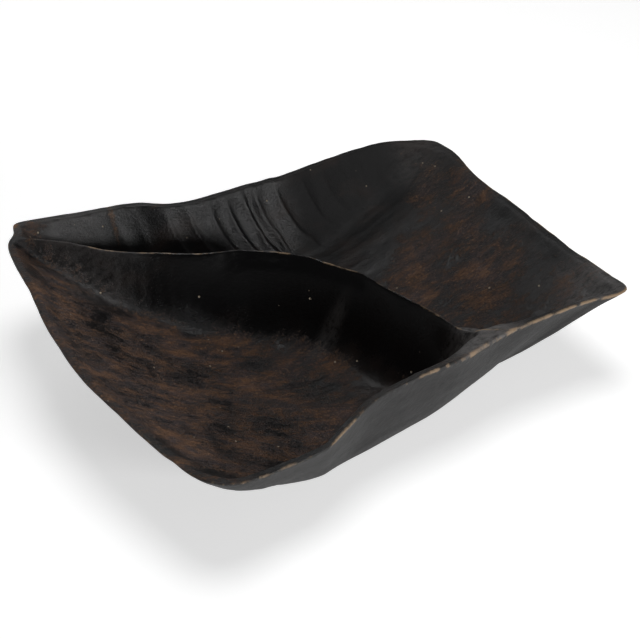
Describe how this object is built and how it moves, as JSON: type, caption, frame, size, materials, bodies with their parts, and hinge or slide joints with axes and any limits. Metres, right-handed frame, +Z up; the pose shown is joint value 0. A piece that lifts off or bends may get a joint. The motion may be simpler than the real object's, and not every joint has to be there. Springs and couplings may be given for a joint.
{
  "type": "divided wooden bowl",
  "caption": "Carved wooden bowl: a boat-shaped oblong tray, hollowed from one block, with a curved wall that divides it into two scooped compartments.",
  "frame": {"origin": "on the ground, under the middle of the bowl", "axes": "+X along the grain, the long way, towards the pointed front right corner; +Y to the back wall; +Z up"},
  "size_m": [0.4592, 0.368, 0.1062],
  "materials": {
    "shell_wood": "dense hardwood, black-brown handled patina, satin, worn brown on the floor and rim",
    "wall_wood": "the same hardwood, near black and satin, worn brown along the crest"
  },
  "bodies": {
    "root": {"carved_shell": "shell_wood", "dividing_wall": "wall_wood"}
  },
  "joints": []
}
